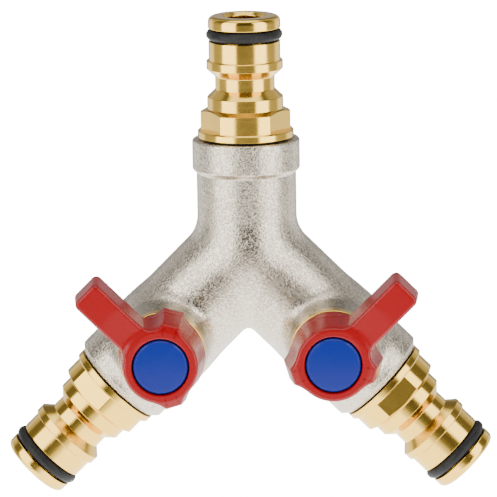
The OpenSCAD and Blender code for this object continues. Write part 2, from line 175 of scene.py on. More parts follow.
# ---------------------------------------------------------------------------
# Mesh helpers
# ---------------------------------------------------------------------------
def make_piece(name, points, faces, material, sharp=40, lathe=None):
    """A piece from points in millimetres. lathe holds (radius, height, angle) for each point."""
    mesh = bpy.data.meshes.new(name)
    mesh.from_pydata([tuple(p) for p in np.asarray(points) * MM], [], [tuple(f) for f in faces])
    mesh.validate()
    if lathe is not None:
        layer = mesh.attributes.new("lathe", "FLOAT_VECTOR", "POINT")
        layer.data.foreach_set("vector", np.asarray(lathe, np.float32).ravel())
    mesh.polygons.foreach_set("use_smooth", [True] * len(mesh.polygons))
    mesh.set_sharp_from_angle(angle=math.radians(sharp))
    mesh.materials.append(material)
    piece = bpy.data.objects.new(name, mesh)
    bpy.context.scene.collection.objects.link(piece)
    return piece


def grid_faces(rows, columns, wrap_rows=False):
    """Quads between rows of points, each row a closed ring."""
    faces = []
    last = rows if wrap_rows else rows - 1
    for r in range(last):
        a = r * columns
        b = ((r + 1) % rows) * columns
        for c in range(columns):
            d = (c + 1) % columns
            faces.append((a + c, a + d, b + d, b + c))
    return faces


def outward(points, faces):
    """The faces, turned over if they enclose a negative volume."""
    p = np.asarray(points)
    corners = np.array([(f[0], f[i], f[i + 1]) for f in faces for i in range(1, len(f) - 1)])
    a, b, c = p[corners[:, 0]], p[corners[:, 1]], p[corners[:, 2]]
    if np.sum(a * np.cross(b, c)) < 0:
        return [tuple(reversed(f)) for f in faces]
    return faces


def soft_profile(corners, closed=True, steps=4, support=0.06):
    """Rounds the corners (x, y, radius) of an outline and adds support points beside each round.
    A round takes up no more than a set share of either side that it joins."""
    side_share = 0.45
    count = len(corners)
    out = []
    for i, (x, y, radius) in enumerate(corners):
        here = np.array([x, y], float)
        if not closed and i in (0, count - 1):
            out.append(here)
            continue
        before = np.array(corners[i - 1][:2], float) - here
        after = np.array(corners[(i + 1) % count][:2], float) - here
        lb, la = np.linalg.norm(before), np.linalg.norm(after)
        before, after = before / lb, after / la
        half = math.acos(max(-1.0, min(1.0, float(before @ after)))) / 2
        if radius <= 0 or half > math.radians(88):
            out.append(here)
            continue
        back = min(radius / math.tan(half), side_share * lb, side_share * la)
        true_radius = back * math.tan(half)
        start, end = here + before * back, here + after * back
        centre = here + (before + after) / np.linalg.norm(before + after) * (true_radius / math.sin(half))
        if lb > back * 2 + 3 * support:
            out.append(start + before * support)
        v0, v1 = start - centre, end - centre
        sweep = math.pi - 2 * half
        for k in range(steps + 1):
            t = k / steps
            w0 = math.sin((1 - t) * sweep) / math.sin(sweep)
            w1 = math.sin(t * sweep) / math.sin(sweep)
            out.append(centre + v0 * w0 + v1 * w1)
        if la > back * 2 + 3 * support:
            out.append(end + after * support)
    return np.array(out)


def flat_angles(first, count, half, inside, outside):
    """Angles round a turned piece, with extra ones at the edges of its flats. inside and outside
    are how many lie evenly on each flat and on the round between two flats."""
    angles = []
    pitch = 2 * math.pi / count
    fine = np.radians([-1.2, -0.6, -0.25, 0.0, 0.25, 0.6, 1.2])
    for k in range(count):
        middle = first + pitch * k
        angles += list(middle - half + fine)
        angles += list(np.linspace(middle - half, middle + half, inside + 2)[1:-1])
        angles += list(middle + half + fine)
        angles += list(np.linspace(middle + half, middle + pitch - half, outside + 2)[1:-1])
    return np.array(sorted(a % (2 * math.pi) for a in angles))


def turned(profile, angles, flats=None):
    """Points, faces and lathe values of a closed outline (radius, height) turned about Z.
    flats is (low, high, distance, first angle, count) for the part that is milled flat."""
    rows = []
    lathe = []
    for radius, height in profile:
        r = np.full(len(angles), radius)
        if flats and flats[0] - 1e-6 <= height <= flats[1] + 1e-6:
            pitch = 2 * math.pi / flats[4]
            off = (angles - flats[3] + pitch / 2) % pitch - pitch / 2
            plane = flats[2] / np.cos(off)
            width = 0.05
            blend = np.clip(0.5 + 0.5 * (plane - r) / width, 0, 1)
            r = plane * (1 - blend) + r * blend - width * blend * (1 - blend)
            r = np.minimum(r, radius)
        rows.append(np.stack([r * np.cos(angles), r * np.sin(angles), np.full(len(angles), height)], 1))
        lathe.append(np.stack([r, np.full(len(angles), height), angles], 1))
    points = np.concatenate(rows)
    faces = outward(points, grid_faces(len(profile), len(angles), wrap_rows=True))
    return points, faces, np.concatenate(lathe)


def even_angles(count):
    return np.linspace(0, 2 * math.pi, count, endpoint=False)


# ---------------------------------------------------------------------------
# Node helpers
# ---------------------------------------------------------------------------
class Tree:
    """Short calls for building a node tree."""

    def __init__(self, tree):
        self.tree = tree

    def node(self, kind, settings=None, **inputs):
        made = self.tree.nodes.new(kind)
        for key, value in (settings or {}).items():
            setattr(made, key, value)
        for key, value in inputs.items():
            self.put(made, key.replace("_", " "), value)
        return made

    def put(self, made, key, value):
        socket = made.inputs[int(key[1:])] if key[0] == "i" and key[1:].isdigit() else made.inputs[key]
        if isinstance(value, bpy.types.NodeSocket):
            self.tree.links.new(value, socket)
        else:
            socket.default_value = value

    def math(self, operation, a, b=0.0):
        made = self.node("ShaderNodeMath", {"operation": operation})
        for i, value in enumerate((a, b)):
            self.put(made, f"i{i}", value)
        return made.outputs[0]

    def noise(self, vector, scale, detail=2.0, rough=0.5, distortion=0.0):
        made = self.node("ShaderNodeTexNoise", Vector=vector, Scale=scale, Detail=detail,
                         Roughness=rough, Distortion=distortion)
        return made.outputs["Fac"]

    def map(self, value, low, high, to_low=0.0, to_high=1.0):
        made = self.node("ShaderNodeMapRange", {"interpolation_type": "SMOOTHSTEP"})
        for i, v in enumerate((value, low, high, to_low, to_high)):
            self.put(made, f"i{i}", v)
        return made.outputs[0]

    def mix_colour(self, factor, a, b):
        made = self.node("ShaderNodeMix", {"data_type": "RGBA"})
        self.put(made, "i0", factor)
        self.put(made, "i6", a)
        self.put(made, "i7", b)
        return made.outputs[2]


def new_group(name, inputs, outputs):
    """A shader node group: inputs are (name, socket type, default), outputs (name, socket type)."""
    group = bpy.data.node_groups.new(name, "ShaderNodeTree")
    for label, kind, default in inputs:
        socket = group.interface.new_socket(name=label, in_out="INPUT", socket_type=kind)
        if default is not None:
            socket.default_value = default
    for label, kind in outputs:
        group.interface.new_socket(name=label, in_out="OUTPUT", socket_type=kind)
    tree = Tree(group)
    return group, tree, group.nodes.new("NodeGroupInput"), group.nodes.new("NodeGroupOutput")


def group_blasted():
    """Grain of a shot-blasted forging: small winding ridges and pits of uneven depth."""
    group, t, gin, gout = new_group(
        "blasted_grain",
        [("Vector", "NodeSocketVector", None), ("Grain", "NodeSocketFloat", 2600.0)],
        [("Height", "NodeSocketFloat"), ("Pits", "NodeSocketFloat"), ("Cloud", "NodeSocketFloat")])
    vector, grain = gin.outputs["Vector"], gin.outputs["Grain"]
    winding = t.noise(vector, grain, 1.0, 0.5, 0.7)
    ridges = t.math("ABSOLUTE", t.math("SUBTRACT", winding, 0.5))
    ridges = t.map(ridges, 0.0, 0.11)
    fine = t.noise(vector, t.math("MULTIPLY", grain, 2.3), 2.0, 0.6, 0.4)
    cells = t.node("ShaderNodeTexVoronoi", {"feature": "SMOOTH_F1"}, Vector=vector,
                   Scale=t.math("MULTIPLY", grain, 0.9), Smoothness=0.6)
    cloud = t.noise(vector, t.math("MULTIPLY", grain, 0.055), 3.0, 0.5, 0.3)
    height = t.math("ADD", t.math("MULTIPLY", ridges, 0.5), t.math("MULTIPLY", fine, 0.45))
    height = t.math("ADD", height, t.math("MULTIPLY", cells.outputs["Distance"], 0.6))
    t.tree.links.new(height, gout.inputs["Height"])
    t.tree.links.new(t.math("SUBTRACT", 1.0, ridges), gout.inputs["Pits"])
    t.tree.links.new(t.map(cloud, 0.3, 0.7), gout.inputs["Cloud"])
    return group


def group_turning():
    """Fine tool rings of a turned piece, from its radius, height and angle."""
    group, t, gin, gout = new_group(
        "tool_rings",
        [("Lathe", "NodeSocketVector", None), ("Pitch", "NodeSocketFloat", 0.09)],
        [("Height", "NodeSocketFloat"), ("Streak", "NodeSocketFloat")])
    parts = t.node("ShaderNodeSeparateXYZ", Vector=gin.outputs["Lathe"])
    along = t.math("ADD", parts.outputs["X"], parts.outputs["Y"])
    wobble = t.math("MULTIPLY", t.math("SINE", parts.outputs["Z"]), 0.004)
    turns = t.math("DIVIDE", t.math("ADD", along, wobble), gin.outputs["Pitch"])
    rings = t.math("PINGPONG", turns, 0.5)
    where = t.node("ShaderNodeCombineXYZ", X=t.math("MULTIPLY", along, 9.0),
                   Y=t.math("MULTIPLY", parts.outputs["Z"], 0.35), Z=0.0)
    streak = t.noise(where.outputs[0], 1.0, 4.0, 0.7)
    height = t.math("ADD", t.math("MULTIPLY", rings, 0.7), streak)
    t.tree.links.new(height, gout.inputs["Height"])
    t.tree.links.new(streak, gout.inputs["Streak"])
    return group


def group_handling():
    """Finger marks and small scratches that any handled surface picks up."""
    group, t, gin, gout = new_group(
        "handling_marks",
        [("Vector", "NodeSocketVector", None), ("Size", "NodeSocketFloat", 140.0)],
        [("Smudge", "NodeSocketFloat"), ("Scratch", "NodeSocketFloat")])
    vector, size = gin.outputs["Vector"], gin.outputs["Size"]
    smudge = t.map(t.noise(vector, size, 3.0, 0.55, 0.8), 0.42, 0.72)
    stretched = t.node("ShaderNodeMapping", {"vector_type": "POINT"}, Vector=vector,
                       Rotation=(0.3, 0.5, 0.8), Scale=(1.0, 14.0, 14.0))
    scratch = t.noise(stretched.outputs[0], t.math("MULTIPLY", size, 1.6), 4.0, 0.75)
    scratch = t.map(t.math("ABSOLUTE", t.math("SUBTRACT", scratch, 0.5)), 0.0, 0.012, 1.0, 0.0)
    kept = t.map(t.noise(vector, t.math("MULTIPLY", size, 0.6), 1.0), 0.52, 0.62)
    t.tree.links.new(smudge, gout.inputs["Smudge"])
    t.tree.links.new(t.math("MULTIPLY", scratch, kept), gout.inputs["Scratch"])
    return group


BLASTED = group_blasted()
TURNING = group_turning()
HANDLING = group_handling()


def new_material(name):
    material = bpy.data.materials.new(name)
    material.use_nodes = True
    material.node_tree.nodes.clear()
    tree = Tree(material.node_tree)
    out = tree.node("ShaderNodeOutputMaterial")
    shader = tree.node("ShaderNodeBsdfPrincipled")
    tree.tree.links.new(shader.outputs[0], out.inputs["Surface"])
    coords = tree.node("ShaderNodeTexCoord")
    return material, tree, shader, coords.outputs["Object"]


def use_group(tree, group, **inputs):
    made = tree.tree.nodes.new("ShaderNodeGroup")
    made.node_tree = group
    for key, value in inputs.items():
        tree.put(made, key, value)
    return made


def set_bump(tree, shader, height, distance):
    bump = tree.node("ShaderNodeBump", Height=height, Distance=distance, Strength=1.0)
    tree.tree.links.new(bump.outputs["Normal"], shader.inputs["Normal"])


def material_nickel():
    material, t, shader, coords = new_material("nickel_blasted")
    grain = use_group(t, BLASTED, Vector=coords, Grain=1500.0)
    marks = use_group(t, HANDLING, Vector=coords, Size=90.0)
    colour = t.mix_colour(grain.outputs["Pits"], (0.61, 0.55, 0.45, 1), (0.42, 0.365, 0.28, 1))
    colour = t.mix_colour(t.math("MULTIPLY", marks.outputs["Smudge"], 0.10), colour, (0.55, 0.49, 0.40, 1))
    rough = t.math("ADD", t.math("MULTIPLY", grain.outputs["Cloud"], 0.02), 0.22)
    rough = t.math("ADD", rough, t.math("MULTIPLY", marks.outputs["Smudge"], 0.05))
    shader.inputs["Metallic"].default_value = 1.0
    t.put(shader, "Base Color", colour)
    t.put(shader, "Roughness", rough)
    set_bump(t, shader, grain.outputs["Height"], 0.000055)
    return material


def material_brass(name, colour, rough, bump):
    material, t, shader, coords = new_material(name)
    lathe = t.node("ShaderNodeAttribute", {"attribute_name": "lathe"}).outputs["Vector"]
    rings = use_group(t, TURNING, Lathe=lathe, Pitch=0.11)
    marks = use_group(t, HANDLING, Vector=coords, Size=120.0)
    dull = tuple(c * 0.86 for c in colour) + (1,)
    base = t.mix_colour(t.map(rings.outputs["Streak"], 0.35, 0.7), colour + (1,), dull)
    base = t.mix_colour(t.math("MULTIPLY", marks.outputs["Smudge"], 0.2), base, (0.70, 0.44, 0.11, 1))
    value = t.math("ADD", t.math("MULTIPLY", rings.outputs["Streak"], 0.06), rough)
    value = t.math("ADD", value, t.math("MULTIPLY", marks.outputs["Smudge"], 0.06))
    value = t.math("ADD", value, t.math("MULTIPLY", marks.outputs["Scratch"], 0.10))
    shader.inputs["Metallic"].default_value = 1.0
    t.put(shader, "Base Color", base)
    t.put(shader, "Roughness", value)
    set_bump(t, shader, rings.outputs["Height"], bump)
    return material


def material_plastic(name, colour, worn, rough):
    material, t, shader, coords = new_material(name)
    marks = use_group(t, HANDLING, Vector=coords, Size=160.0)
    skin = t.noise(coords, 1500.0, 3.0, 0.6)
    sink = t.noise(coords, 170.0, 1.0, 0.5)
    base = t.mix_colour(t.math("MULTIPLY", marks.outputs["Smudge"], 0.1), colour + (1,), worn + (1,))
    value = t.math("ADD", t.math("MULTIPLY", skin, 0.07), rough)
    value = t.math("ADD", value, t.math("MULTIPLY", marks.outputs["Smudge"], 0.03))
    height = t.math("ADD", t.math("MULTIPLY", skin, 0.12), t.math("MULTIPLY", sink, 0.8))
    t.put(shader, "Base Color", base)
    t.put(shader, "Roughness", value)
    shader.inputs["IOR"].default_value = 1.5
    shader.inputs["Specular IOR Level"].default_value = 0.28
    set_bump(t, shader, height, 0.000004)
    return material


def material_rubber():
    material, t, shader, coords = new_material("rubber_black")
    marks = use_group(t, HANDLING, Vector=coords, Size=200.0)
    skin = t.noise(coords, 2600.0, 3.0, 0.6)
    base = t.mix_colour(t.math("MULTIPLY", marks.outputs["Smudge"], 0.6), (0.012, 0.012, 0.013, 1),
                        (0.03, 0.03, 0.031, 1))
    value = t.math("ADD", t.math("MULTIPLY", skin, 0.16), 0.36)
    value = t.math("ADD", value, t.math("MULTIPLY", marks.outputs["Smudge"], 0.10))
    t.put(shader, "Base Color", base)
    t.put(shader, "Roughness", value)
    shader.inputs["Specular IOR Level"].default_value = 0.12
    set_bump(t, shader, skin, 0.00002)
    return material


def material_plain_metal(name, colour, rough):
    material, t, shader, coords = new_material(name)
    marks = use_group(t, HANDLING, Vector=coords, Size=150.0)
    skin = t.noise(coords, 3000.0, 3.0, 0.6)
    dull = tuple(c * 0.8 for c in colour) + (1,)
    base = t.mix_colour(t.math("MULTIPLY", marks.outputs["Smudge"], 0.5), colour + (1,), dull)
    value = t.math("ADD", t.math("MULTIPLY", marks.outputs["Smudge"], 0.1), rough)
    shader.inputs["Metallic"].default_value = 1.0
    t.put(shader, "Base Color", base)
    t.put(shader, "Roughness", value)
    set_bump(t, shader, skin, 0.000004)
    return material


NICKEL = material_nickel()
BRASS = material_brass("brass_turned", (0.86, 0.55, 0.09), 0.085, 0.000005)
RUBBER = material_rubber()
RED = material_plastic("red_moulded", (0.22, 0.0022, 0.004), (0.235, 0.004, 0.006), 0.17)
BLUE = material_plastic("blue_moulded", (0.005, 0.012, 0.16), (0.012, 0.024, 0.19), 0.17)
PTFE = material_plastic("seal_white", (0.82, 0.82, 0.80), (0.70, 0.70, 0.67), 0.42)
CHROME = material_plain_metal("ball_chrome", (0.80, 0.81, 0.82), 0.08)
STEEL = material_plain_metal("screw_steel", (0.56, 0.57, 0.58), 0.28)


# ---------------------------------------------------------------------------
# Body: three tubes, a collar and two valve bosses, forged as one smooth shape
# ---------------------------------------------------------------------------
AXES = {
    "inlet": np.array([0.0, 0.0, 1.0]),
    "left": np.array([-math.sin(ARM_ANGLE), 0.0, -math.cos(ARM_ANGLE)]),
    "right": np.array([math.sin(ARM_ANGLE), 0.0, -math.cos(ARM_ANGLE)]),
}


def soft_min(a, b, width):
    """The smaller of two distances, blended over a width where they are alike."""
    h = np.clip(0.5 + 0.5 * (b - a) / width, 0, 1)
    return b * (1 - h) + a * h - width * h * (1 - h)


def tube_value(p, axis, radius):
    t = np.maximum(p @ axis, 0)
    return np.linalg.norm(p - t[..., None] * axis, axis=-1) - radius


def outside_value(p):
    """Distance of points from the body's outside: below zero is metal."""
    arms = soft_min(tube_value(p, AXES["left"], ARM_R), tube_value(p, AXES["right"], ARM_R),
                    ARM_BLEND)
    value = soft_min(tube_value(p, AXES["inlet"], INLET_R), arms, SHOULDER_BLEND)
    for side in ("left", "right"):
        from_axis = p - AXES[side] * VALVE_REACH
        across = np.sqrt(from_axis[..., 0] ** 2 + from_axis[..., 2] ** 2)
        rise = -p[..., 1]
        wall = across - BOSS_R - BOSS_DRAFT * (BOSS_TOP - rise)
        top = rise - BOSS_TOP
        boss = np.maximum(-soft_min(-wall, -top, BOSS_EDGE), -rise)
        value = soft_min(value, boss, BOSS_BLEND)
    return value


def inside_value(p):
    """Distance of points from the waterway's wall: below zero is water."""
    arms = soft_min(tube_value(p, AXES["left"], ARM_WATERWAY_R),
                    tube_value(p, AXES["right"], ARM_WATERWAY_R), WATERWAY_BLEND)
    return soft_min(tube_value(p, AXES["inlet"], INLET_WATERWAY_R), arms, WATERWAY_BLEND)


def hit(value_at, start, direction, reach=26.0, steps=130):
    """Where rays from inside first leave the shape."""
    low = np.zeros(len(start))
    high = np.full(len(start), reach)
    found = np.zeros(len(start), bool)
    for k in range(1, steps + 1):
        r = reach * k / steps
        out = (value_at(start + direction * r) > 0) & ~found
        high[out] = r
        low[out] = reach * (k - 1) / steps
        found |= out
    for _ in range(22):
        middle = (low + high) / 2
        out = value_at(start + direction * middle[:, None]) > 0
        high = np.where(out, middle, high)
        low = np.where(out, low, middle)
    return (low + high) / 2


def seam_points(value_at, half_way, psi):
    """Points of the surface in the half-plane between two tubes."""
    direction = np.cos(psi)[:, None] * half_way + np.sin(psi)[:, None] * np.array([0.0, 1.0, 0.0])
    start = np.zeros_like(direction)
    return direction * hit(value_at, start, direction)[:, None]


def y_surface(value_at, ends, per_half, pitch):
    """Rows of points for the three tubes, from their shared seams out to each end."""
    halves = {
        ("inlet", "right"): AXES["inlet"] + AXES["right"],
        ("left", "right"): AXES["left"] + AXES["right"],
        ("inlet", "left"): AXES["inlet"] + AXES["left"],
    }
    psi = np.linspace(-math.pi / 2, math.pi / 2, per_half + 1)
    seams = {}
    for key, way in halves.items():
        seams[key] = seam_points(value_at, way / np.linalg.norm(way), psi)
    tubes = {}
    for name, other_a, other_b in (("inlet", "right", "left"), ("right", "left", "inlet"),
                                   ("left", "inlet", "right")):
        first = seams[tuple(sorted((name, other_a)))]
        second = seams[tuple(sorted((name, other_b)))]
        loop = np.concatenate([first[:-1], second[:0:-1]])
        axis = AXES[name]
        along = loop @ axis
        away = loop - along[:, None] * axis
        away /= np.linalg.norm(away, axis=1)[:, None]
        end = ends[name]
        count = int((end - along.min()) / pitch)
        rows = [loop]
        for k in range(1, count + 1):
            t = along + (end - along) * k / count
            start = t[:, None] * axis
            rows.append(start + away * hit(value_at, start, away)[:, None])
        tubes[name] = (rows, away, axis)
    return tubes


def mouth_rows(away, axis, profile):
    """Rows of points round a tube's mouth, from its outside to the waterway in it."""
    return [away * r + axis * t for r, t in profile]


def build_body():
    per_half = 96
    pitch = 0.42
    collar_low = INLET_REACH - COLLAR_LEN
    step = COLLAR_R - INLET_R
    recess = INLET_REACH - RECESS_LEN
    thread_end = INLET_REACH - INLET_THREAD_LEN
    chamber_top, chamber_low = VALVE_REACH + SEAT_BACK, VALVE_REACH - SEAT_BACK
    inlet_profile = soft_profile([
        (INLET_R, collar_low - 1.0, 0), (INLET_R, collar_low, 0.5), (COLLAR_R, collar_low + step, 0.45),
        (COLLAR_R, INLET_REACH, COLLAR_ROUND), (RECESS_R, INLET_REACH, RECESS_ROUND),
        (RECESS_R, recess, 0.05), (THREAD_R, recess, 0.1), (THREAD_R, thread_end, 0),
        (INLET_WATERWAY_R, thread_end, 0), (INLET_WATERWAY_R, thread_end - 2.0, 0)],
        closed=False, steps=5)
    outlet_profile = soft_profile([
        (ARM_R, OUTLET_REACH - 3.0, 0), (ARM_R, OUTLET_REACH - MOUTH_CHAMFER, 0.3),
        (ARM_R - MOUTH_CHAMFER, OUTLET_REACH, 0.2), (THREAD_R, OUTLET_REACH, 0.1),
        (THREAD_R, chamber_top, 0), (CHAMBER_R, chamber_top, 0), (CHAMBER_R, chamber_low, 0),
        (ARM_WATERWAY_R, chamber_low, 0), (ARM_WATERWAY_R, chamber_low - 2.0, 0)], closed=False, steps=5)
    profiles = {"inlet": inlet_profile, "left": outlet_profile, "right": outlet_profile}
    outer = y_surface(outside_value, {n: p[0][1] for n, p in profiles.items()}, per_half, pitch)
    inner = y_surface(inside_value, {n: p[-1][1] for n, p in profiles.items()}, per_half, 2.0)
    points, faces, index = [], [], {}

    def number(p):
        """The index of a point, which is new only if no point lies there yet."""
        key = tuple(np.round(p, 5))
        if key not in index:
            index[key] = len(points)
            points.append(p)
        return index[key]

    for name in ("inlet", "left", "right"):
        rows, away, axis = outer[name]
        rows = rows[:-1] + mouth_rows(away, axis, profiles[name])
        inner_rows = inner[name][0]
        ids = [[number(p) for p in row] for row in rows]
        inner_ids = [[number(p) for p in row] for row in inner_rows[:-1]]
        chain = ids + inner_ids[::-1]
        columns = len(ids[0])
        for a, b in zip(chain[:-1], chain[1:]):
            for c in range(columns):
                d = (c + 1) % columns
                quad = [a[c], a[d], b[d], b[c]]
                quad = [q for i, q in enumerate(quad) if q != quad[i - 1]]
                if len(quad) >= 3:
                    faces.append(tuple(quad))
    points = np.array(points)
    faces = outward(points, faces)
    return make_piece("forged_body", on_inlet(points), faces, NICKEL, sharp=50)


body = build_body()


# ---------------------------------------------------------------------------
# Nipples
# ---------------------------------------------------------------------------
def build_nipple(name, spigot, clocking, place):
    """A turned nipple with three milled flats. clocking turns the flats about its axis."""
    corners = [
        (NIPPLE_BORE_R, -spigot, 0.05), (SPIGOT_R - SPIGOT_CHAMFER, -spigot, 0.05),
        (SPIGOT_R, -spigot + SPIGOT_CHAMFER, 0.05), (SPIGOT_R, 0, 0.03), (FLANGE_R, 0, 0.12),
        (FLANGE_R, FLANGE_TOP - FLANGE_CHAMFER, 0.05), (FLANGE_R - FLANGE_CHAMFER, FLANGE_TOP, 0.05),
        (SPANNER_R, FLANGE_TOP, 0.03), (SPANNER_R, SPANNER_TOP, 0.08), (STEP_R, STEP_BASE, 0.12),
        (STEP_R, STEP_TOP, 0.16), (NECK_R, NECK_BASE, 0.25), (NECK_R, NECK_TOP, 0.3),
        (RIDGE_R, RIDGE_BASE, 0.1), (RIDGE_R, RIDGE_TOP - RIDGE_CHAMFER, 0.04),
        (RIDGE_R - RIDGE_CHAMFER, RIDGE_TOP, 0.04), (NOSE_R, RIDGE_TOP, 0.12), (NOSE_R, GROOVE_BASE, 0.12),
        (GROOVE_R, GROOVE_BASE, 0.05), (GROOVE_R, RIM_BASE, 0.05), (RIM_R, RIM_BASE, 0.2),
        (RIM_R, NIPPLE_TIP, RIM_ROUND), (NIPPLE_BORE_R + BORE_CHAMFER, NIPPLE_TIP, 0.15),
        (NIPPLE_BORE_R, NIPPLE_TIP - BORE_CHAMFER, 0.2)]
    profile = soft_profile(corners, steps=6)
    extra = []
    for (r0, h0), (r1, h1) in zip(profile, np.roll(profile, -1, 0)):
        extra.append((r0, h0))
        long = math.hypot(r1 - r0, h1 - h0)
        in_chamfer = SPANNER_TOP - 0.1 < (h0 + h1) / 2 < STEP_BASE + 0.1
        pieces = max(1, int(long / (0.07 if in_chamfer else 1.0)))
        for k in range(1, pieces):
            extra.append((r0 + (r1 - r0) * k / pieces, h0 + (h1 - h0) * k / pieces))
    first = math.radians(90)
    angles = flat_angles(first, FLAT_COUNT, math.acos(FLAT_SHARE), 12, 44)
    flats = (FLANGE_TOP + 0.0001, STEP_BASE - 0.01, FLAT_SHARE * SPANNER_R, first, FLAT_COUNT)
    points, faces, lathe = turned(extra, angles, flats)
    c, s = math.cos(clocking), math.sin(clocking)
    points = points @ np.array([[c, s, 0], [-s, c, 0], [0, 0, 1]])
    return make_piece(name, place(points), faces, BRASS, sharp=38, lathe=lathe)


FLANGE_AT = {"inlet": INLET_REACH + GASKET_LEN, "outlet": OUTLET_REACH + GASKET_LEN}
inlet_nipple = build_nipple("turned_inlet_nipple", INLET_SPIGOT, CLOCKING["inlet"],
                            lambda p: on_inlet(p + np.array([0, 0, FLANGE_AT["inlet"]])))
left_nipple = build_nipple("turned_left_nipple", OUTLET_SPIGOT, CLOCKING["left"],
                           lambda p: on_arm(p + np.array([0, 0, FLANGE_AT["outlet"]]), -1))
right_nipple = build_nipple("turned_right_nipple", OUTLET_SPIGOT, CLOCKING["right"],
                            lambda p: on_arm(p + np.array([0, 0, FLANGE_AT["outlet"]]), 1))


# ---------------------------------------------------------------------------
# O-rings and gaskets: one rule places a ring on each of the three tubes
# ---------------------------------------------------------------------------
def ring_tree(name, flat_ring):
    """A Geometry Nodes tree that makes one ring for the inlet and one for each outlet arm."""
    group = bpy.data.node_groups.new(name, "GeometryNodeTree")
    group.interface.new_socket(name="Geometry", in_out="INPUT", socket_type="NodeSocketGeometry")
    ids = {}
    wanted = (("Inlet Distance", "NodeSocketFloat"), ("Outlet Distance", "NodeSocketFloat"),
              ("Ring Radius", "NodeSocketFloat"), ("Section Width", "NodeSocketFloat"),
              ("Section Height", "NodeSocketFloat"), ("Arm Angle", "NodeSocketFloat"),
              ("Crossing Height", "NodeSocketFloat"), ("Material", "NodeSocketMaterial"))
    for label, kind in wanted:
        ids[label] = group.interface.new_socket(name=label, in_out="INPUT", socket_type=kind).identifier
    group.interface.new_socket(name="Geometry", in_out="OUTPUT", socket_type="NodeSocketGeometry")
    t = Tree(group)
    gin = group.nodes.new("NodeGroupInput")
    gout = group.nodes.new("NodeGroupOutput")
    path = t.node("GeometryNodeCurvePrimitiveCircle", Resolution=192)
    t.tree.links.new(gin.outputs["Ring Radius"], path.inputs["Radius"])
    if flat_ring:
        section = t.node("GeometryNodeCurvePrimitiveQuadrilateral")
        t.tree.links.new(gin.outputs["Section Height"], section.inputs["Width"])
        t.tree.links.new(gin.outputs["Section Width"], section.inputs["Height"])
    else:
        section = t.node("GeometryNodeCurvePrimitiveCircle", Resolution=40)
        half = t.math("MULTIPLY", gin.outputs["Section Width"], 0.5)
        t.tree.links.new(half, section.inputs["Radius"])
    swept = t.node("GeometryNodeCurveToMesh")
    t.tree.links.new(path.outputs[0], swept.inputs["Curve"])
    t.tree.links.new(section.outputs[0], swept.inputs["Profile Curve"])
    line = t.node("GeometryNodeMeshLine", Count=3)
    index = t.node("GeometryNodeInputIndex").outputs[0]
    is_arm = t.math("MINIMUM", index, 1.0)
    side = t.math("SUBTRACT", t.math("MULTIPLY", index, 2.0), 3.0)
    swing = t.math("SUBTRACT", math.pi, gin.outputs["Arm Angle"])
    angle = t.math("MULTIPLY", t.math("MULTIPLY", side, swing), is_arm)
    extra = t.math("SUBTRACT", gin.outputs["Outlet Distance"], gin.outputs["Inlet Distance"])
    distance = t.math("ADD", gin.outputs["Inlet Distance"], t.math("MULTIPLY", extra, is_arm))
    x = t.math("MULTIPLY", t.math("SINE", angle), distance)
    z = t.math("ADD", t.math("MULTIPLY", t.math("COSINE", angle), distance), gin.outputs["Crossing Height"])
    spot = t.node("ShaderNodeCombineXYZ")
    t.tree.links.new(x, spot.inputs["X"])
    t.tree.links.new(z, spot.inputs["Z"])
    placed = t.node("GeometryNodeSetPosition")
    t.tree.links.new(line.outputs[0], placed.inputs["Geometry"])
    t.tree.links.new(spot.outputs[0], placed.inputs["Position"])
    lean = t.node("ShaderNodeCombineXYZ")
    t.tree.links.new(angle, lean.inputs["Y"])
    copies = t.node("GeometryNodeInstanceOnPoints")
    t.tree.links.new(placed.outputs[0], copies.inputs["Points"])
    t.tree.links.new(swept.outputs[0], copies.inputs["Instance"])
    t.tree.links.new(lean.outputs[0], copies.inputs["Rotation"])
    real = t.node("GeometryNodeRealizeInstances")
    t.tree.links.new(copies.outputs[0], real.inputs[0])
    coloured = t.node("GeometryNodeSetMaterial")
    t.tree.links.new(real.outputs[0], coloured.inputs["Geometry"])
    t.tree.links.new(gin.outputs["Material"], coloured.inputs["Material"])
    t.tree.links.new(coloured.outputs[0], gout.inputs["Geometry"])
    return group, ids


def rings_piece(name, flat_ring, values):
    group, ids = ring_tree(name + "_rule", flat_ring)
    holder = bpy.data.objects.new(name + "_source", bpy.data.meshes.new(name + "_source"))
    bpy.context.scene.collection.objects.link(holder)
    modifier = holder.modifiers.new("rings", "NODES")
    modifier.node_group = group
    for label, value in values.items():
        modifier[ids[label]] = value
    modifier[ids["Arm Angle"]] = ARM_ANGLE
    modifier[ids["Crossing Height"]] = CROSSING_Z * MM
    modifier[ids["Material"]] = RUBBER
    evaluated = holder.evaluated_get(bpy.context.evaluated_depsgraph_get())
    mesh = bpy.data.meshes.new_from_object(evaluated)
    bpy.data.objects.remove(holder)
    mesh.name = name
    mesh.polygons.foreach_set("use_smooth", [True] * len(mesh.polygons))
    mesh.set_sharp_from_angle(angle=math.radians(40))
    piece = bpy.data.objects.new(name, mesh)
    bpy.context.scene.collection.objects.link(piece)
    return piece


GROOVE_MIDDLE = (GROOVE_BASE + RIM_BASE) / 2
o_rings = rings_piece("rubber_o_rings", False, {
    "Inlet Distance": (FLANGE_AT["inlet"] + GROOVE_MIDDLE) * MM,
    "Outlet Distance": (FLANGE_AT["outlet"] + GROOVE_MIDDLE) * MM,
    "Ring Radius": (RIDGE_R - O_RING_W / 2) * MM, "Section Width": O_RING_W * MM,
    "Section Height": O_RING_W * MM})
gaskets = rings_piece("rubber_gaskets", True, {
    "Inlet Distance": (INLET_REACH + GASKET_LEN / 2) * MM,
    "Outlet Distance": (OUTLET_REACH + GASKET_LEN / 2) * MM,
    "Ring Radius": (GASKET_R - GASKET_WALL / 2) * MM, "Section Width": GASKET_WALL * MM,
    "Section Height": GASKET_LEN * MM})


